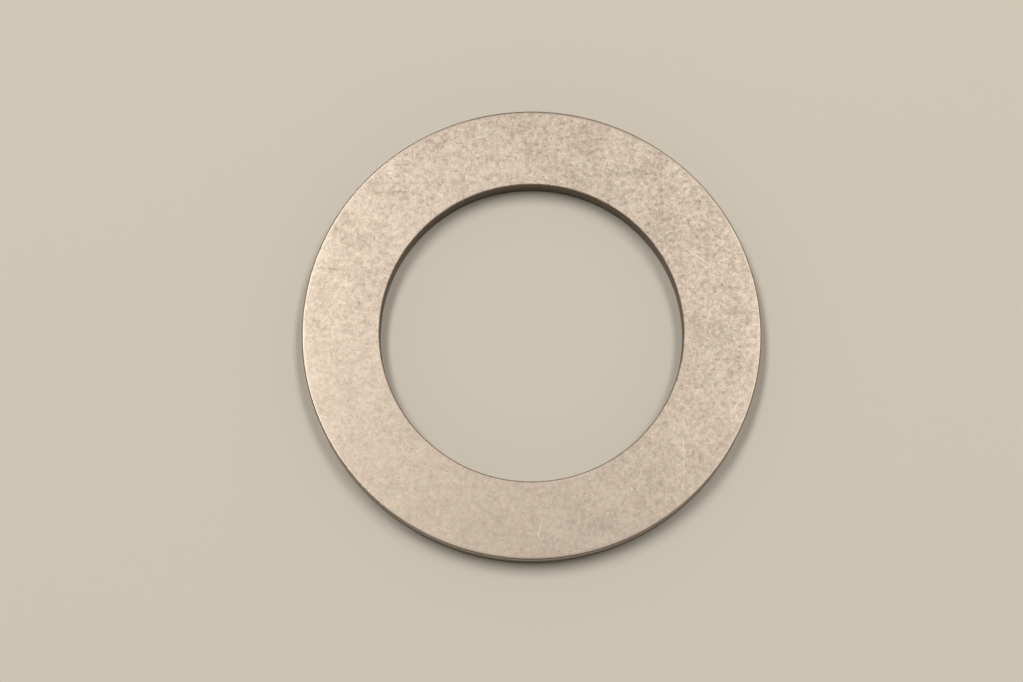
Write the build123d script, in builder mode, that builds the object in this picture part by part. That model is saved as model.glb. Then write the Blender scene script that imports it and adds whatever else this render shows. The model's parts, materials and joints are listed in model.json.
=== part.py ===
"""Shim ring: a flat round steel spacer with a plain bore.

The ring is one piece. It is blanked from sheet and ground flat on both faces. Its
bore is given a light chamfer on both sides, which lets it slip onto a shaft. Then
the ring is tumbled, and the media wears a small radius on the two open outer rims.

Units are millimetres. The origin is the centre of the bore on the underside,
and +Z runs up the ring's axis.
"""

import os

from build123d import *

# Driving dimensions
outer_diameter = 50.0
bore_diameter = 33.0
thickness = 2.6

# How the rims are finished
outer_rim_radius = 0.22
bore_rim_chamfer = 0.12


with BuildPart() as shim_ring:
    # The blank: a disc with its bore punched through, as thick as the finished ring
    with BuildSketch(Plane.XY):
        Circle(outer_diameter / 2)
        Circle(bore_diameter / 2, mode=Mode.SUBTRACT)
    extrude(amount=thickness)

    # The four rims: the two of the bore are the smaller circles, the two outside the larger
    rims_by_size = shim_ring.edges().filter_by(GeomType.CIRCLE).group_by(SortBy.RADIUS)
    bore_rims = rims_by_size[0]
    outer_rims = rims_by_size[-1]
    chamfer(bore_rims, length=bore_rim_chamfer)
    fillet(outer_rims, radius=outer_rim_radius)

shim_ring.part.label = "shim_ring"

os.makedirs("parts", exist_ok=True)
export_step(shim_ring.part, "parts/shim_ring.step")
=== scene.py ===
"""Shim ring in tumbled steel, lying on the pale floor of a small studio.

The file is laid out as an add-on and is run as a script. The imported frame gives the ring's sizes.
Geometry Nodes turn its section round the axis and wear its rims, and one node material gives the steel.
Lengths in the settings are metres, and patterns in the materials are worked out in millimetres.
"""

import json
import math

import bpy
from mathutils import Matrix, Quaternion, Vector


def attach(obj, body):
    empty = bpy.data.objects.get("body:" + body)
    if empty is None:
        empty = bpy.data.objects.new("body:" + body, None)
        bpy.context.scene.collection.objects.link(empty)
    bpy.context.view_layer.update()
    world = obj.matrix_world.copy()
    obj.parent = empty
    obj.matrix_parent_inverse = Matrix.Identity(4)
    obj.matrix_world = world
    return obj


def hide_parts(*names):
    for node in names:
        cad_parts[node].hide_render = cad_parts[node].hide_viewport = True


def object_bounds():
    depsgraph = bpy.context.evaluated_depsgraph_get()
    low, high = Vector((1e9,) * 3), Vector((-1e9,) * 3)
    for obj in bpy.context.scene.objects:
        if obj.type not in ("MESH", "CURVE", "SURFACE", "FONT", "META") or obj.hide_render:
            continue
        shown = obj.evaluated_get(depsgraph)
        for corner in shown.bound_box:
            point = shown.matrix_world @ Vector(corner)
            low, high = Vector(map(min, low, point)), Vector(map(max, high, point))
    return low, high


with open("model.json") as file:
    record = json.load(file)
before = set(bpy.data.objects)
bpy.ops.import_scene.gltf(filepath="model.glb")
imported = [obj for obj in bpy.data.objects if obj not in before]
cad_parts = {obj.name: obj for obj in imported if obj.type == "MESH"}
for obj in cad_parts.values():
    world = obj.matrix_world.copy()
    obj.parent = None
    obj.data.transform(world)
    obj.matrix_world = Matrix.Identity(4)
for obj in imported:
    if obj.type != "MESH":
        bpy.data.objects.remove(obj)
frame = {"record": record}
cad_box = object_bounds()

bl_info = {
    "name": "Shim Ring",
    "version": (1, 0, 0),
    "blender": (4, 5, 0),
    "location": "3D View > Sidebar > Shim Ring",
    "description": "Makes a tumbled steel shim ring and the studio that it lies in",
    "category": "Object",
}

MM = 0.001
MM_PER_METRE = 1000.0
NODE_STEP = 190  # how far apart the nodes stand in their editor

NODE = "shim_ring"
BODY = "root"

# Sizes of the ring, from the frame: its box gives the thickness, its mounts the walls
mounts = {mount["name"]: mount["dims"] for mount in frame["record"]["mounts"]}
thickness = cad_box[1].z - cad_box[0].z
outer_radius = mounts["outer_rim"]["r_mm"] * MM
bore_radius = mounts["bore"]["r_mm"] * MM
outer_rim = (thickness - mounts["outer_rim"]["length_mm"] * MM) / 2
bore_rim = (thickness - mounts["bore"]["length_mm"] * MM) / 2


def linear(hex_colour):
    """The linear RGB of an sRGB colour written as hex."""
    parts = [int(hex_colour[i : i + 2], 16) / 255 for i in (1, 3, 5)]
    return tuple(c / 12.92 if c <= 0.04045 else ((c + 0.055) / 1.055) ** 2.4 for c in parts)


def add(tree, kind, inputs=None, **settings):
    """Add a node with its settings. An input takes a value, a socket, or a node's first output."""
    node = tree.nodes.new(kind)
    for name, value in settings.items():
        setattr(node, name, value)
    for key, value in (inputs or {}).items():
        source = value.outputs[0] if isinstance(value, bpy.types.Node) else value
        if isinstance(source, bpy.types.NodeSocket):
            tree.links.new(source, node.inputs[key])
        else:
            node.inputs[key].default_value = source
    node.location.x = NODE_STEP * len(tree.nodes)
    return node


# ---------------------------------------------------------------- settings


class ShimRingSizes(bpy.types.PropertyGroup):
    """Sizes of the ring and of the wear on its rims."""

    outer_radius: bpy.props.FloatProperty(
        name="Outer Radius",
        description="From the axis to the outer wall",
        default=outer_radius,
        precision=5,
        unit="LENGTH",
    )
    bore_radius: bpy.props.FloatProperty(
        name="Bore Radius",
        description="From the axis to the wall of the bore",
        default=bore_radius,
        precision=5,
        unit="LENGTH",
    )
    thickness: bpy.props.FloatProperty(
        name="Thickness",
        description="From the underside to the upper face",
        default=thickness,
        precision=5,
        unit="LENGTH",
    )
    outer_rim: bpy.props.FloatProperty(
        name="Outer Rim",
        description="Radius that tumbling has given the two outer rims",
        default=outer_rim,
        precision=5,
        unit="LENGTH",
    )
    bore_rim: bpy.props.FloatProperty(
        name="Bore Rim",
        description="Break on the two rims of the bore",
        default=bore_rim,
        precision=5,
        unit="LENGTH",
    )
    wear_depth: bpy.props.FloatProperty(
        name="Wear Depth",
        description="How far the rims are worn unevenly",
        default=0.003 * MM,
        precision=6,
        unit="LENGTH",
    )
    nick_depth: bpy.props.FloatProperty(
        name="Nick Depth",
        description="Depth of the small nicks in the rims",
        default=0.01 * MM,
        precision=6,
        unit="LENGTH",
    )
    columns: bpy.props.IntProperty(
        name="Columns",
        description="Faces round the ring",
        default=1440,
        min=90,
    )


class ShimRingFinish(bpy.types.PropertyGroup):
    """Colours and texture of the steel."""

    face_light: bpy.props.FloatVectorProperty(
        name="Face Light",
        description="Steel where the tumbling stones have burnished it",
        subtype="COLOR",
        default=linear("#DFCBB8"),
    )
    face_grey: bpy.props.FloatVectorProperty(
        name="Face Grey",
        description="Burnished steel in its greyer patches",
        subtype="COLOR",
        default=linear("#D9CCB9"),
    )
    face_dark: bpy.props.FloatVectorProperty(
        name="Face Dark",
        description="Steel in the dull hollows between the strokes",
        subtype="COLOR",
        default=linear("#7A6A5A"),
    )
    # Painted shade: both wall colours are darker than their brown film alone makes them, standing for the
    # shadowed floor that the metal walls mirror.
    wall: bpy.props.FloatVectorProperty(
        name="Wall",
        description="Turned steel of the outer wall and the bore, under a thin brown film",
        subtype="COLOR",
        default=linear("#6C5B49"),
    )
    # Painted shade as well: the lines of thicker film, darkened further for the shadowed floor that the walls
    # mirror.
    wall_lines_and_painted_shade: bpy.props.FloatVectorProperty(
        name="Wall Dark",
        description="Turning lines in which the film is thicker",
        subtype="COLOR",
        default=linear("#483A2C"),
    )
    roughness: bpy.props.FloatProperty(
        name="Roughness",
        description="Roughness of the tumbled faces",
        subtype="FACTOR",
        min=0.0,
        max=1.0,
        default=0.36,
    )
    felt: bpy.props.FloatProperty(
        name="Felt",
        description="Strength of the strokes on the faces",
        subtype="FACTOR",
        min=0.0,
        max=1.0,
        default=0.24,
    )
    polish: bpy.props.FloatProperty(
        name="Polish",
        description="Share of the strokes that the outer rims have lost",
        subtype="FACTOR",
        min=0.0,
        max=1.0,
        default=0.6,
    )
    relief: bpy.props.FloatProperty(
        name="Relief",
        description="Depth of the strokes",
        default=0.0012 * MM,
        precision=6,
        unit="LENGTH",
    )
    roll: bpy.props.FloatProperty(
        name="Roll",
        description="How far the face falls before the outer rim begins",
        default=0.003 * MM,
        precision=6,
        unit="LENGTH",
    )


class ShimRingStage(bpy.types.PropertyGroup):
    """Floor, lamps and camera."""

    floor: bpy.props.FloatVectorProperty(
        name="Floor",
        description="Colour of the floor",
        subtype="COLOR",
        default=linear("#EBE1CE"),
    )
    horizon: bpy.props.FloatProperty(
        name="Horizon",
        description="Light of the room at the height of the floor, where 1 is white",
        default=0.6,
    )
    zenith: bpy.props.FloatProperty(
        name="Zenith",
        description="Light of the room straight above, where 1 is white",
        default=0.05,
    )
    left_lamp: bpy.props.FloatProperty(
        name="Left Lamp",
        description="Power of the lamp on the left",
        subtype="POWER",
        default=12.4,
    )
    right_lamp: bpy.props.FloatProperty(
        name="Right Lamp",
        description="Power of the lamp on the right",
        subtype="POWER",
        default=9.2,
    )


# ---------------------------------------------------------------- shape of the ring

OUTER_RIM_STEPS = 8  # rows round each outer rim
BORE_RIM_STEPS = 1  # a chamfer is one straight step
ROW_SPACING = 0.6 * MM  # rows along the faces and the walls lie about this far apart
WAVE_LENGTH = 4.0 * MM  # distance over which the wear of a rim comes and goes
NICK_SPACING = 4.5 * MM  # one place in this distance may have a nick
NICK_RADIUS = 0.22 * MM  # half the width of the largest nick
WEAR_GAIN = 4.0  # brings the wear to 1 in the middle of a rim
FLAT_NORMAL = 0.9999  # upward part of a normal above which a face counts as flat


def section_of_ring(tree, given):
    """The ring's section, an oblong with round outer corners and chamfered inner ones, and its width."""
    radii = {0: given["Outer Radius"], 1: given["Bore Radius"]}
    width = add(tree, "ShaderNodeMath", radii, operation="SUBTRACT")
    sides = {"Width": width, "Height": given["Thickness"]}
    oblong = add(tree, "GeometryNodeCurvePrimitiveQuadrilateral", sides)
    position = add(tree, "GeometryNodeInputPosition")
    place = add(tree, "ShaderNodeSeparateXYZ", {0: position})
    is_outer = add(tree, "ShaderNodeMath", {0: place.outputs["X"], 1: 0.0}, operation="GREATER_THAN")
    radius = add(
        tree,
        "GeometryNodeSwitch",
        {"Switch": is_outer, "False": given["Bore Rim"], "True": given["Outer Rim"]},
        input_type="FLOAT",
    )
    steps = add(
        tree,
        "GeometryNodeSwitch",
        {"Switch": is_outer, "False": BORE_RIM_STEPS, "True": OUTER_RIM_STEPS},
        input_type="INT",
    )
    eased = add(
        tree, "GeometryNodeFilletCurve", {"Curve": oblong, "Radius": radius, "Count": steps}, mode="POLY"
    )

    # Rows along the straight sides, as many as their length asks for
    next_point = add(tree, "GeometryNodeOffsetPointInCurve", {"Offset": 1})
    there = add(
        tree,
        "GeometryNodeFieldAtIndex",
        {"Index": next_point.outputs["Point Index"], "Value": position},
        data_type="FLOAT_VECTOR",
    )
    length = add(tree, "ShaderNodeVectorMath", {0: position, 1: there}, operation="DISTANCE").outputs["Value"]
    cuts = add(tree, "ShaderNodeMath", {0: length, 1: ROW_SPACING}, operation="DIVIDE")
    return add(tree, "GeometryNodeSubdivideCurve", {"Curve": eased, "Cuts": cuts}), width


def ring_tree():
    """Geometry Nodes tree that turns the section round the axis and wears its rims."""
    tree = bpy.data.node_groups.new("Worn Ring", "GeometryNodeTree")
    sockets = (
        ("Outer Radius", "NodeSocketFloat"),
        ("Bore Radius", "NodeSocketFloat"),
        ("Thickness", "NodeSocketFloat"),
        ("Outer Rim", "NodeSocketFloat"),
        ("Bore Rim", "NodeSocketFloat"),
        ("Wear Depth", "NodeSocketFloat"),
        ("Nick Depth", "NodeSocketFloat"),
        ("Columns", "NodeSocketInt"),
        ("Material", "NodeSocketMaterial"),
    )
    for name, kind in sockets:
        tree.interface.new_socket(name, in_out="INPUT", socket_type=kind)
    tree.interface.new_socket("Geometry", in_out="OUTPUT", socket_type="NodeSocketGeometry")
    given = add(tree, "NodeGroupInput").outputs
    section, width = section_of_ring(tree, given)

    # The sweep round the axis, along a circle through the middle of the wall
    middle = add(
        tree, "ShaderNodeMath", {0: width, 1: 0.5, 2: given["Bore Radius"]}, operation="MULTIPLY_ADD"
    )
    path = add(
        tree,
        "GeometryNodeCurvePrimitiveCircle",
        {"Resolution": given["Columns"], "Radius": middle},
        mode="RADIUS",
    )
    swept = add(tree, "GeometryNodeCurveToMesh", {"Curve": path, "Profile Curve": section})
    half_up = add(tree, "ShaderNodeMath", {0: given["Thickness"], 1: 0.5}, operation="MULTIPLY")
    lift = add(tree, "ShaderNodeCombineXYZ", {"Z": half_up})
    standing = add(tree, "GeometryNodeTransform", {"Geometry": swept, "Translation": lift})

    # How much a point is on a rim: 1 in the middle of the round, 0 on the flat faces and the walls
    position = add(tree, "GeometryNodeInputPosition")
    normal = add(tree, "GeometryNodeInputNormal")
    up = add(tree, "ShaderNodeSeparateXYZ", {0: normal}).outputs["Z"]
    slope = add(tree, "ShaderNodeMath", {0: up}, operation="ABSOLUTE")
    rest = add(tree, "ShaderNodeMath", {0: 1.0, 1: slope}, operation="SUBTRACT")
    across = add(tree, "ShaderNodeMath", {0: slope, 1: rest}, operation="MULTIPLY")
    on_rim = add(tree, "ShaderNodeMath", {0: across, 1: WEAR_GAIN}, operation="MULTIPLY", use_clamp=True)

    # Uneven wear, and nicks where the nearest point of a scattered set is close
    waves = add(tree, "ShaderNodeTexNoise", {"Vector": position, "Scale": 1 / WAVE_LENGTH, "Detail": 1.0})
    worn = add(tree, "ShaderNodeMath", {0: waves, 1: given["Wear Depth"]}, operation="MULTIPLY")
    scatter = add(tree, "ShaderNodeTexVoronoi", {"Vector": position, "Scale": 1 / NICK_SPACING}, feature="F1")
    size = add(
        tree,
        "ShaderNodeMath",
        {0: scatter.outputs["Color"], 1: NICK_RADIUS / NICK_SPACING},
        operation="MULTIPLY",
    )
    share = add(tree, "ShaderNodeMath", {0: scatter.outputs["Distance"], 1: size}, operation="DIVIDE")
    nick = add(tree, "ShaderNodeMath", {0: 1.0, 1: share}, operation="SUBTRACT", use_clamp=True)
    depth = add(tree, "ShaderNodeMath", {0: nick, 1: given["Nick Depth"], 2: worn}, operation="MULTIPLY_ADD")
    sunk = add(tree, "ShaderNodeMath", {0: depth, 1: on_rim}, operation="MULTIPLY")
    outset = add(tree, "ShaderNodeMath", {0: sunk, 1: -1.0}, operation="MULTIPLY")
    offset = add(tree, "ShaderNodeVectorMath", {0: normal, "Scale": outset}, operation="SCALE")
    worn_ring = add(tree, "GeometryNodeSetPosition", {"Geometry": standing, "Offset": offset})

    # The flat faces stay crisp, and everything else is shaded smooth
    curved = add(tree, "ShaderNodeMath", {0: slope, 1: FLAT_NORMAL}, operation="LESS_THAN")
    shaded = add(
        tree,
        "GeometryNodeSetShadeSmooth",
        {"Geometry": worn_ring, "Shade Smooth": curved},
        domain="FACE",
    )
    real = add(tree, "GeometryNodeRealizeInstances", {"Geometry": shaded})
    finished = add(tree, "GeometryNodeSetMaterial", {"Geometry": real, "Material": given["Material"]})
    add(tree, "NodeGroupOutput", {"Geometry": finished})
    return tree


def mesh_from_tree(name, tree, values):
    """The plain mesh object that a Geometry Nodes tree makes with these inputs."""
    source = bpy.data.objects.new(name + "_source", bpy.data.meshes.new(name + "_source"))
    bpy.context.scene.collection.objects.link(source)
    modifier = source.modifiers.new("Nodes", "NODES")
    modifier.node_group = tree
    for item in tree.interface.items_tree:
        if item.in_out == "INPUT":
            modifier[item.identifier] = values[item.name]
    depsgraph = bpy.context.evaluated_depsgraph_get()
    mesh = bpy.data.meshes.new_from_object(source.evaluated_get(depsgraph), depsgraph=depsgraph)
    mesh.name = name
    bpy.data.objects.remove(source)
    made = bpy.data.objects.new(name, mesh)
    bpy.context.scene.collection.objects.link(made)
    return made


# ---------------------------------------------------------------- steel

# Nets of tumbling strokes on the faces, in millimetres: spacing, length and width, then the tone
# of the lightest stroke and the weight. The real strokes are down to 0.02 mm wide, and are drawn
# 0.05 mm wide or more so that they show.
NETS = (
    (0.34, 0.42, 0.05, 1.0, 0.9),
    (0.42, 0.60, 0.05, 1.0, 1.0),
    (0.52, 0.80, 0.05, 1.0, 1.1),
    (0.68, 1.10, 0.06, 1.0, 1.1),
    (0.90, 1.50, 0.06, 1.0, 1.1),
    (1.30, 2.20, 0.06, 1.0, 1.1),
    (3.40, 5.00, 0.05, 0.8, 1.0),  # stray scratches
    (2.10, 0.50, 0.12, -0.1, 1.5),  # dark specks
)
NET_SHIFT = 37.3  # millimetres by which each net's pattern is moved from the one before
STROKE_BEND = 0.2  # bow of a stroke, for each millimetre that it is away from its middle

# The longest scratches on the upper face, from handling, in millimetres and degrees:
# x, y, length, angle, width, and tone, which is dark below 0 and light above it
MARKS = (
    (-15.2, 18.4, 3.6, 4, 0.07, -0.5),
    (-15.5, 15.3, 9.4, 3, 0.05, -0.3),
    (-22.2, 6.4, 3.7, -5, 0.06, -0.4),
    (-0.9, 20.4, 3.6, -8, 0.06, -0.5),
    (18.0, 8.8, 4.6, -33, 0.07, 0.6),
    (1.4, -21.7, 3.0, 78, 0.08, 0.5),
    (16.7, -13.6, 9.0, -88, 0.06, 0.5),
)

MARK_BEND = 0.02  # bow of a single scratch, for each millimetre from its middle

# Tone of the faces
MIDDLE_TONE = 0.5
HEAVY_SIDE = (0.5, 0.87, 0.0)  # direction in which the tumbling marks are heavier
HEAVY_SHARE = 0.45  # how much heavier they are at the rim there, and lighter opposite
MOTTLE_SCALE = 2.0  # soft patches about 0.5 mm across, for each millimetre
MOTTLE_TONE = 0.48  # tone that they add or take away at most
CLOUD_SCALE = 0.35  # slow change of tone over about 3 mm
CLOUD_TONE = 0.18  # tone that it adds or takes away at most
TINT_SCALE = 1.4  # patches of warmer and greyer steel about 0.7 mm across
TINT_SPREAD = (0.35, 0.65)  # part of the noise over which the steel goes from grey to warm

# Rims and walls
RIM_BRIGHT = 0.7  # share of a rim's height down which the bright steel of the face reaches
# Below RIM_DARK the rim takes the wall's colours: the brown film and, with it, their painted shade.
RIM_DARK = 1.0  # share of it below which there is only the film of the wall
ROLL_OFF = 0.25  # width in millimetres over which the face falls away to the outer rim
WALL_ALONG = 0.15  # turning lines are long round the wall
WALL_ACROSS = 14.0  # and about 0.07 mm apart across it
FILM_SPREAD = (0.3, 0.7)  # part of the noise over which the film goes from thick to thin
LINE_DEPTH = 0.004  # depth of the turning lines in millimetres

# Roughness
DULL_ROUGHER = 0.06  # how much rougher than the setting a dull hollow is
BRIGHT_SMOOTHER = 0.03  # how much smoother than the setting a burnished stroke is
RIM_SHARE = 0.85  # roughness of the outer rim, as a share of that of the face
WALL_ROUGHEST = 0.42
WALL_SMOOTHEST = 0.28


def stroke_group():
    """Node group that draws one short bent stroke: 1 on its line and 0 beside it."""
    tree = bpy.data.node_groups.new("Stroke", "ShaderNodeTree")
    face = tree.interface
    face.new_socket("From Middle", in_out="INPUT", socket_type="NodeSocketVector")
    for name in ("Angle", "Length", "Width", "Bend"):
        face.new_socket(name, in_out="INPUT", socket_type="NodeSocketFloat")
    face.new_socket("Mask", in_out="OUTPUT", socket_type="NodeSocketFloat")
    given = add(tree, "NodeGroupInput").outputs

    turned = add(
        tree,
        "ShaderNodeVectorRotate",
        {"Vector": given["From Middle"], "Angle": given["Angle"]},
        rotation_type="Z_AXIS",
    )
    local = add(tree, "ShaderNodeSeparateXYZ", {0: turned}).outputs
    along = add(tree, "ShaderNodeMath", {0: local["X"]}, operation="ABSOLUTE")
    squared = add(tree, "ShaderNodeMath", {0: along, 1: along}, operation="MULTIPLY")
    bowed = add(
        tree, "ShaderNodeMath", {0: squared, 1: given["Bend"], 2: local["Y"]}, operation="MULTIPLY_ADD"
    )
    beside = add(tree, "ShaderNodeMath", {0: bowed}, operation="ABSOLUTE")
    fade = {"From Min": 0.0, "To Min": 1.0, "To Max": 0.0}
    thin = add(
        tree,
        "ShaderNodeMapRange",
        {"Value": beside, "From Max": given["Width"], **fade},
        interpolation_type="SMOOTHSTEP",
    )
    half = add(tree, "ShaderNodeMath", {0: given["Length"], 1: 0.5}, operation="MULTIPLY")
    short = add(
        tree,
        "ShaderNodeMapRange",
        {"Value": along, "From Max": half, **fade},
        interpolation_type="SMOOTHERSTEP",
    )
    mask = add(tree, "ShaderNodeMath", {0: thin, 1: short}, operation="MULTIPLY")
    add(tree, "NodeGroupOutput", {"Mask": mask})
    return tree


def stroke_net_group(stroke):
    """Node group that scatters strokes, one in each cell, each with its own angle, bend and tone."""
    tree = bpy.data.node_groups.new("Stroke Net", "ShaderNodeTree")
    face = tree.interface
    face.new_socket("Position", in_out="INPUT", socket_type="NodeSocketVector")
    for name in ("Spacing", "Length", "Width", "Lightest"):
        face.new_socket(name, in_out="INPUT", socket_type="NodeSocketFloat")
    face.new_socket("Tone", in_out="OUTPUT", socket_type="NodeSocketFloat")
    given = add(tree, "NodeGroupInput").outputs

    scale = add(tree, "ShaderNodeMath", {0: 1.0, 1: given["Spacing"]}, operation="DIVIDE")
    cells = add(
        tree,
        "ShaderNodeTexVoronoi",
        {"Vector": given["Position"], "Scale": scale},
        voronoi_dimensions="2D",
        feature="F1",
    )
    from_middle = add(
        tree,
        "ShaderNodeVectorMath",
        {0: given["Position"], 1: cells.outputs["Position"]},
        operation="SUBTRACT",
    )
    chance = add(tree, "ShaderNodeSeparateColor", {0: cells.outputs["Color"]}).outputs
    angle = add(tree, "ShaderNodeMath", {0: chance["Red"], 1: math.tau}, operation="MULTIPLY")
    bend = add(
        tree,
        "ShaderNodeMapRange",
        {"Value": chance["Green"], "To Min": -STROKE_BEND, "To Max": STROKE_BEND},
    )
    line = add(
        tree,
        "ShaderNodeGroup",
        {
            "From Middle": from_middle,
            "Angle": angle,
            "Length": given["Length"],
            "Width": given["Width"],
            "Bend": bend,
        },
        node_tree=stroke,
    )
    light_or_dark = add(
        tree,
        "ShaderNodeMapRange",
        {"Value": chance["Blue"], "To Min": -1.0, "To Max": given["Lightest"]},
    )
    tone = add(tree, "ShaderNodeMath", {0: line, 1: light_or_dark}, operation="MULTIPLY")
    add(tree, "NodeGroupOutput", {"Tone": tone})
    return tree


def felt_of_strokes(tree, place, stroke):
    """The nets of strokes laid over each other, about 0 and within 1 either way."""
    net = stroke_net_group(stroke)
    felt = 0.0
    for number, (spacing, length, width, lightest, weight) in enumerate(NETS, start=1):
        shift = (NET_SHIFT * number, -NET_SHIFT * number, 0.0)
        moved = add(tree, "ShaderNodeVectorMath", {0: place, 1: shift}, operation="ADD")
        layer = add(
            tree,
            "ShaderNodeGroup",
            {
                "Position": moved,
                "Spacing": spacing,
                "Length": length,
                "Width": width,
                "Lightest": lightest,
            },
            node_tree=net,
        )
        felt = add(tree, "ShaderNodeMath", {0: layer, 1: weight, 2: felt}, operation="MULTIPLY_ADD")
    return felt


def handling_marks(tree, place, height, stroke):
    """The single marks, which lie on the upper face alone."""
    marks = 0.0
    for x, y, length, angle, width, tone in MARKS:
        from_middle = add(tree, "ShaderNodeVectorMath", {0: place, 1: (x, y, 0.0)}, operation="SUBTRACT")
        line = add(
            tree,
            "ShaderNodeGroup",
            {
                "From Middle": from_middle,
                "Angle": -math.radians(angle),
                "Length": length,
                "Width": width,
                "Bend": MARK_BEND,
            },
            node_tree=stroke,
        )
        marks = add(tree, "ShaderNodeMath", {0: line, 1: tone, 2: marks}, operation="MULTIPLY_ADD")
    on_top = add(tree, "ShaderNodeMath", {0: height, 1: 0.0}, operation="GREATER_THAN")
    return add(tree, "ShaderNodeMath", {0: marks, 1: on_top}, operation="MULTIPLY")


def masks_of_ring(tree, height, radius, sizes):
    """Two masks: 1 on a face and 0 on a wall, and 1 at the outer rim and 0 further in."""
    rim_here = add(
        tree,
        "ShaderNodeMapRange",
        {
            "Value": radius,
            "From Min": sizes.bore_radius / MM,
            "From Max": sizes.outer_radius / MM,
            "To Min": sizes.bore_rim / MM,
            "To Max": sizes.outer_rim / MM,
        },
    )
    from_middle = add(tree, "ShaderNodeMath", {0: height}, operation="ABSOLUTE")
    half = sizes.thickness / MM / 2
    below = add(tree, "ShaderNodeMath", {0: half, 1: from_middle}, operation="SUBTRACT")
    down_rim = add(tree, "ShaderNodeMath", {0: below, 1: rim_here}, operation="DIVIDE")
    on_face = add(
        tree,
        "ShaderNodeMapRange",
        {"Value": down_rim, "From Min": RIM_BRIGHT, "From Max": RIM_DARK, "To Min": 1.0, "To Max": 0.0},
        interpolation_type="SMOOTHSTEP",
    )
    flat_end = (sizes.outer_radius - sizes.outer_rim) / MM
    to_rim = add(
        tree,
        "ShaderNodeMapRange",
        {"Value": radius, "From Min": flat_end - ROLL_OFF, "From Max": flat_end},
        interpolation_type="SMOOTHSTEP",
    )
    return on_face, to_rim


def tone_of_faces(tree, place, height, to_rim, sizes, finish):
    """Tone of the faces about 0, below it in dull hollows and above it on burnished strokes."""
    stroke = stroke_group()
    felt = felt_of_strokes(tree, place, stroke)
    mottle = add(
        tree, "ShaderNodeTexNoise", {"Vector": place, "Scale": MOTTLE_SCALE, "Detail": 5.0, "Roughness": 0.7}
    )
    cloud = add(tree, "ShaderNodeTexNoise", {"Vector": place, "Scale": CLOUD_SCALE, "Detail": 3.0})
    soft = add(tree, "ShaderNodeMapRange", {"Value": mottle, "To Min": -MOTTLE_TONE, "To Max": MOTTLE_TONE})
    slow = add(tree, "ShaderNodeMapRange", {"Value": cloud, "To Min": -CLOUD_TONE, "To Max": CLOUD_TONE})
    patches = add(tree, "ShaderNodeMath", {0: soft, 1: slow}, operation="ADD")
    texture = add(tree, "ShaderNodeMath", {0: felt, 1: finish.felt, 2: patches}, operation="MULTIPLY_ADD")

    # Heavier towards one side of the ring, and calmer on the polished outer rim
    side = add(tree, "ShaderNodeVectorMath", {0: place, 1: HEAVY_SIDE}, operation="DOT_PRODUCT")
    strength = add(
        tree,
        "ShaderNodeMapRange",
        {
            "Value": side.outputs["Value"],
            "From Min": -sizes.outer_radius / MM,
            "From Max": sizes.outer_radius / MM,
            "To Min": 1.0 - HEAVY_SHARE,
            "To Max": 1.0 + HEAVY_SHARE,
        },
    )
    uneven = add(tree, "ShaderNodeMath", {0: texture, 1: strength}, operation="MULTIPLY")
    polished = add(tree, "ShaderNodeMath", {0: to_rim, 1: finish.polish}, operation="MULTIPLY")
    left = add(tree, "ShaderNodeMath", {0: 1.0, 1: polished}, operation="SUBTRACT")
    calmed = add(tree, "ShaderNodeMath", {0: uneven, 1: left}, operation="MULTIPLY")

    marks = handling_marks(tree, place, height, stroke)
    return add(tree, "ShaderNodeMath", {0: calmed, 1: marks}, operation="ADD")


def colour_of_steel(tree, place, tone, lines, on_face, finish):
    """Burnished and dull steel in warmer and greyer patches on the faces, and on the walls the film, darkened
    further with painted shade.
    """
    low, high = TINT_SPREAD
    tint = add(tree, "ShaderNodeTexNoise", {"Vector": place, "Scale": TINT_SCALE, "Detail": 2.0})
    warmth = add(tree, "ShaderNodeMapRange", {"Value": tint, "From Min": low, "From Max": high})
    bright = add(
        tree,
        "ShaderNodeMix",
        {"Factor": warmth, "A": (*finish.face_grey, 1.0), "B": (*finish.face_light, 1.0)},
        data_type="RGBA",
    )
    face_colour = add(
        tree,
        "ShaderNodeMix",
        {"Factor": tone, "A": (*finish.face_dark, 1.0), "B": bright.outputs["Result"]},
        data_type="RGBA",
    )
    # The turning lines of the film are the wall's own pattern. The darkness of both wall colours is painted
    # shade, for the shadowed floor that the walls mirror.
    low, high = FILM_SPREAD
    film = add(tree, "ShaderNodeMapRange", {"Value": lines, "From Min": low, "From Max": high})
    wall_film_and_painted_shade = add(
        tree,
        "ShaderNodeMix",
        {"Factor": film, "A": (*finish.wall_lines_and_painted_shade, 1.0), "B": (*finish.wall, 1.0)},
        data_type="RGBA",
    )
    colour = add(
        tree,
        "ShaderNodeMix",
        {"Factor": on_face, "A": wall_film_and_painted_shade.outputs["Result"], "B": face_colour.outputs["Result"]},
        data_type="RGBA",
    )
    return colour.outputs["Result"]


def roughness_of_steel(tree, tone, lines, on_face, to_rim, finish):
    """Rougher in a dull hollow than on a burnished stroke, and smoother on the outer rim."""
    roughest = finish.roughness + DULL_ROUGHER
    smoothest = finish.roughness - BRIGHT_SMOOTHER
    face = add(tree, "ShaderNodeMapRange", {"Value": tone, "To Min": roughest, "To Max": smoothest})
    rim = add(tree, "ShaderNodeMapRange", {"Value": to_rim, "To Min": 1.0, "To Max": RIM_SHARE})
    upper = add(tree, "ShaderNodeMath", {0: face, 1: rim}, operation="MULTIPLY")
    wall = add(
        tree, "ShaderNodeMapRange", {"Value": lines, "To Min": WALL_ROUGHEST, "To Max": WALL_SMOOTHEST}
    )
    return add(tree, "ShaderNodeMix", {"Factor": on_face, "A": wall, "B": upper}, data_type="FLOAT")


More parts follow.
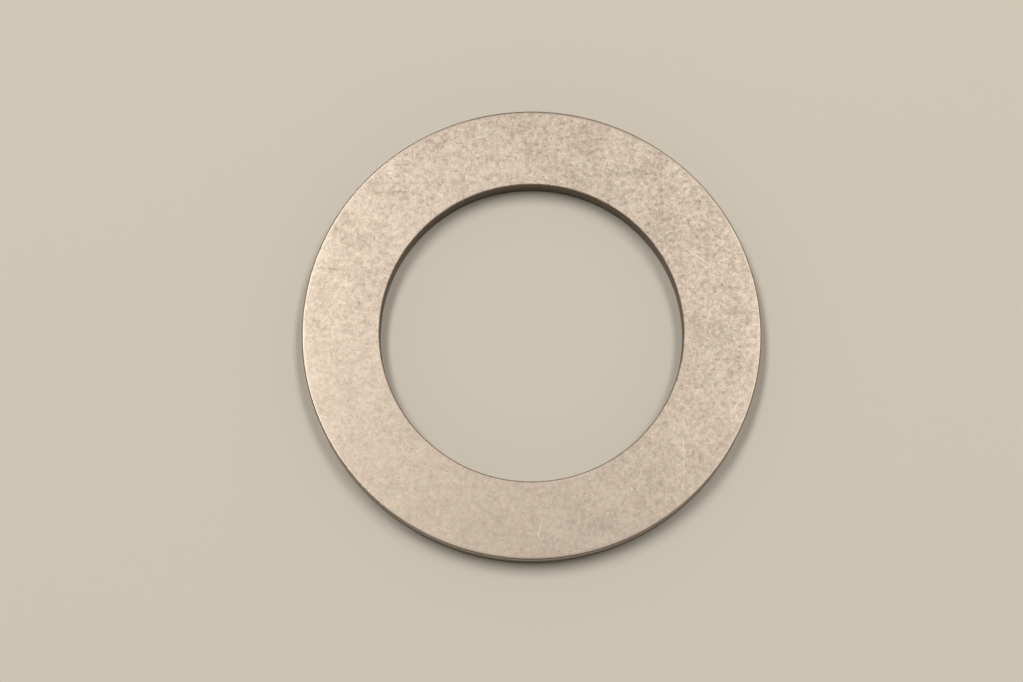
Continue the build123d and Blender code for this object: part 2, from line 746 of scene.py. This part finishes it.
def relief_of_steel(tree, marked, lines, on_face, to_rim, finish):
    """Height in millimetres: the strokes, the soft fall to the outer rim and the turning lines."""
    strokes = add(tree, "ShaderNodeMath", {0: marked, 1: finish.relief / MM}, operation="MULTIPLY")
    fall = add(tree, "ShaderNodeMath", {0: to_rim, 1: -finish.roll / MM}, operation="MULTIPLY")
    face = add(tree, "ShaderNodeMath", {0: strokes, 1: fall}, operation="ADD")
    wall = add(tree, "ShaderNodeMath", {0: lines, 1: LINE_DEPTH}, operation="MULTIPLY")
    return add(tree, "ShaderNodeMix", {"Factor": on_face, "A": wall, "B": face}, data_type="FLOAT")


def tumbled_steel(sizes, finish):
    """Hardened steel, ground flat and then tumbled with stone.

    The faces are a satin felt of fine strokes, light and dark, with soft mottling under it. The
    outer rims are worn smoother by the stones. The walls keep their turning lines and a thin
    brown film of oil, and their colour is darkened further with painted shade, for the shadowed
    floor that they mirror.
    """
    material = bpy.data.materials.new("ground_tumbled_steel")
    material.use_nodes = True
    tree = material.node_tree
    tree.nodes.clear()

    # Place on the ring in millimetres, with the height measured from the middle of the thickness
    coordinate = add(tree, "ShaderNodeTexCoord").outputs["Object"]
    scaled = add(tree, "ShaderNodeVectorMath", {0: coordinate, "Scale": MM_PER_METRE}, operation="SCALE")
    middle = (0.0, 0.0, sizes.thickness / MM / 2)
    place = add(tree, "ShaderNodeVectorMath", {0: scaled, 1: middle}, operation="SUBTRACT")
    height = add(tree, "ShaderNodeSeparateXYZ", {0: place}).outputs["Z"]
    flat_place = add(tree, "ShaderNodeVectorMath", {0: place, 1: (1.0, 1.0, 0.0)}, operation="MULTIPLY")
    radius = add(tree, "ShaderNodeVectorMath", {0: flat_place}, operation="LENGTH").outputs["Value"]
    on_face, to_rim = masks_of_ring(tree, height, radius, sizes)

    # What covers the faces, and the turning lines round the walls
    marked = tone_of_faces(tree, place, height, to_rim, sizes, finish)
    tone = add(tree, "ShaderNodeMath", {0: marked, 1: MIDDLE_TONE}, operation="ADD", use_clamp=True)
    stretch = (WALL_ALONG, WALL_ALONG, WALL_ACROSS)
    turned = add(tree, "ShaderNodeVectorMath", {0: place, 1: stretch}, operation="MULTIPLY")
    lines = add(tree, "ShaderNodeTexNoise", {"Vector": turned, "Scale": 1.0, "Detail": 3.0})

    relief = relief_of_steel(tree, marked, lines, on_face, to_rim, finish)
    shader = add(
        tree,
        "ShaderNodeBsdfPrincipled",
        {
            "Metallic": 1.0,
            "Base Color": colour_of_steel(tree, place, tone, lines, on_face, finish),
            "Roughness": roughness_of_steel(tree, tone, lines, on_face, to_rim, finish),
            "Normal": add(tree, "ShaderNodeBump", {"Height": relief, "Distance": MM}),
        },
    )
    add(tree, "ShaderNodeOutputMaterial", {"Surface": shader})
    return material


# ---------------------------------------------------------------- operators


class MakeShimRing(bpy.types.Operator):
    """Make the worn ring and its steel"""

    bl_idname = "shim_ring.make_ring"
    bl_label = "Make Ring"

    def execute(self, context):
        sizes = context.scene.shim_ring_sizes
        steel = tumbled_steel(sizes, context.scene.shim_ring_finish)
        values = {
            "Outer Radius": sizes.outer_radius,
            "Bore Radius": sizes.bore_radius,
            "Thickness": sizes.thickness,
            "Outer Rim": sizes.outer_rim,
            "Bore Rim": sizes.bore_rim,
            "Wear Depth": sizes.wear_depth,
            "Nick Depth": sizes.nick_depth,
            "Columns": sizes.columns,
            "Material": steel,
        }
        ring = mesh_from_tree("worn_ring", ring_tree(), values)
        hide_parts(NODE)
        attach(ring, BODY)
        return {"FINISHED"}


FLOOR_HALF = 3.0  # half the side of the floor
FLOOR_GAP = 0.02 * MM  # keeps the floor clear of the underside
CARD_ROUGHNESS = 0.9
CARD_SPECULAR = 0.1  # matt card has hardly any gloss
DIM_HEIGHT = 0.7  # upward part of a direction at which the light of the room has fallen to its least

# The lamps hang level over the floor. Their other lengths are shares of their height.
LAMP_HEIGHT = 1.5
LAMP_SIDE = 0.36  # how far out to the left or right of the ring
LAMP_BACK = 0.34  # how far behind it
LAMP_WIDTH = 0.25
LAMP_LENGTH = 0.74

CAMERA_DISTANCE = 0.25  # from the middle of the upper face
CAMERA_ELEVATION = math.radians(77.338)
CAMERA_AIM = Vector((-2.14, -1.18, 2.6)) * MM  # point in the middle of the picture
CAMERA_ROLL = math.radians(-0.813)
CAMERA_LENS = 81.02


class MakeStudio(bpy.types.Operator):
    """Make the floor, the lamps, the world and the camera"""

    bl_idname = "shim_ring.make_studio"
    bl_label = "Make Studio"

    def execute(self, context):
        stage = context.scene.shim_ring_stage
        scene = context.scene
        self.make_floor(stage)
        self.make_lamp("left_lamp", -1, stage.left_lamp)
        self.make_lamp("right_lamp", 1, stage.right_lamp)
        self.make_world(scene, stage)
        self.make_camera(scene, context.scene.shim_ring_sizes.thickness)
        scene.view_settings.view_transform = "Standard"
        return {"FINISHED"}

    def make_floor(self, stage):
        """A plain square of matt card."""
        material = bpy.data.materials.new("matt_card")
        material.use_nodes = True
        shader = material.node_tree.nodes["Principled BSDF"]
        shader.inputs["Base Color"].default_value = (*stage.floor, 1.0)
        shader.inputs["Roughness"].default_value = CARD_ROUGHNESS
        shader.inputs["Specular IOR Level"].default_value = CARD_SPECULAR
        mesh = bpy.data.meshes.new("floor")
        r = FLOOR_HALF
        corners = [(-r, -r, -FLOOR_GAP), (r, -r, -FLOOR_GAP), (r, r, -FLOOR_GAP), (-r, r, -FLOOR_GAP)]
        mesh.from_pydata(corners, [], [(0, 1, 2, 3)])
        mesh.materials.append(material)
        floor = bpy.data.objects.new("floor", mesh)
        bpy.context.scene.collection.objects.link(floor)

    def make_lamp(self, name, side, power):
        """A soft lamp that shines straight down, on the left for a side of -1 and on the right for 1."""
        light = bpy.data.lights.new(name, "AREA")
        light.shape = "RECTANGLE"
        light.size = LAMP_WIDTH * LAMP_HEIGHT
        light.size_y = LAMP_LENGTH * LAMP_HEIGHT
        light.energy = power
        lamp = bpy.data.objects.new(name, light)
        lamp.location = (side * LAMP_SIDE * LAMP_HEIGHT, LAMP_BACK * LAMP_HEIGHT, LAMP_HEIGHT)
        bpy.context.scene.collection.objects.link(lamp)

    def make_world(self, scene, stage):
        """White light from all round, which grows towards the horizon as in a room with pale walls."""
        world = bpy.data.worlds.new("studio")
        world.use_nodes = True
        tree = world.node_tree
        tree.nodes.clear()
        direction = add(tree, "ShaderNodeTexCoord").outputs["Generated"]
        height = add(tree, "ShaderNodeSeparateXYZ", {0: direction}).outputs["Z"]
        light = add(
            tree,
            "ShaderNodeMapRange",
            {"Value": height, "From Max": DIM_HEIGHT, "To Min": stage.horizon, "To Max": stage.zenith},
        )
        background = add(tree, "ShaderNodeBackground", {"Color": (1.0, 1.0, 1.0, 1.0), "Strength": light})
        add(tree, "ShaderNodeOutputWorld", {"Surface": background})
        scene.world = world

    def make_camera(self, scene, height):
        """A camera in front of the ring, high above it and looking down at its upper face."""
        data = bpy.data.cameras.new("camera")
        data.lens = CAMERA_LENS
        camera = bpy.data.objects.new("camera", data)
        middle = Vector((0.0, 0.0, height))
        back = Vector((0.0, -math.cos(CAMERA_ELEVATION), math.sin(CAMERA_ELEVATION)))
        camera.location = middle + back * CAMERA_DISTANCE
        look = CAMERA_AIM - camera.location
        turn = look.to_track_quat("-Z", "Y") @ Quaternion((0.0, 0.0, 1.0), CAMERA_ROLL)
        camera.rotation_mode = "QUATERNION"
        camera.rotation_quaternion = turn
        scene.collection.objects.link(camera)
        scene.camera = camera


class ShimRingPanel(bpy.types.Panel):
    """The ring's settings and its two operators"""

    bl_idname = "VIEW3D_PT_shim_ring"
    bl_label = "Shim Ring"
    bl_space_type = "VIEW_3D"
    bl_region_type = "UI"
    bl_category = "Shim Ring"

    def draw(self, context):
        for settings in (
            context.scene.shim_ring_sizes,
            context.scene.shim_ring_finish,
            context.scene.shim_ring_stage,
        ):
            column = self.layout.column(align=True)
            for name in settings.__annotations__:
                column.prop(settings, name)
        self.layout.operator(MakeShimRing.bl_idname)
        self.layout.operator(MakeStudio.bl_idname)


CLASSES = (ShimRingSizes, ShimRingFinish, ShimRingStage, MakeShimRing, MakeStudio, ShimRingPanel)


def register():
    for cls in CLASSES:
        bpy.utils.register_class(cls)
    bpy.types.Scene.shim_ring_sizes = bpy.props.PointerProperty(type=ShimRingSizes)
    bpy.types.Scene.shim_ring_finish = bpy.props.PointerProperty(type=ShimRingFinish)
    bpy.types.Scene.shim_ring_stage = bpy.props.PointerProperty(type=ShimRingStage)


def unregister():
    del bpy.types.Scene.shim_ring_stage
    del bpy.types.Scene.shim_ring_finish
    del bpy.types.Scene.shim_ring_sizes
    for cls in reversed(CLASSES):
        bpy.utils.unregister_class(cls)


def main():
    register()
    bpy.ops.shim_ring.make_ring()
    bpy.ops.shim_ring.make_studio()


if __name__ == "__main__":
    main()
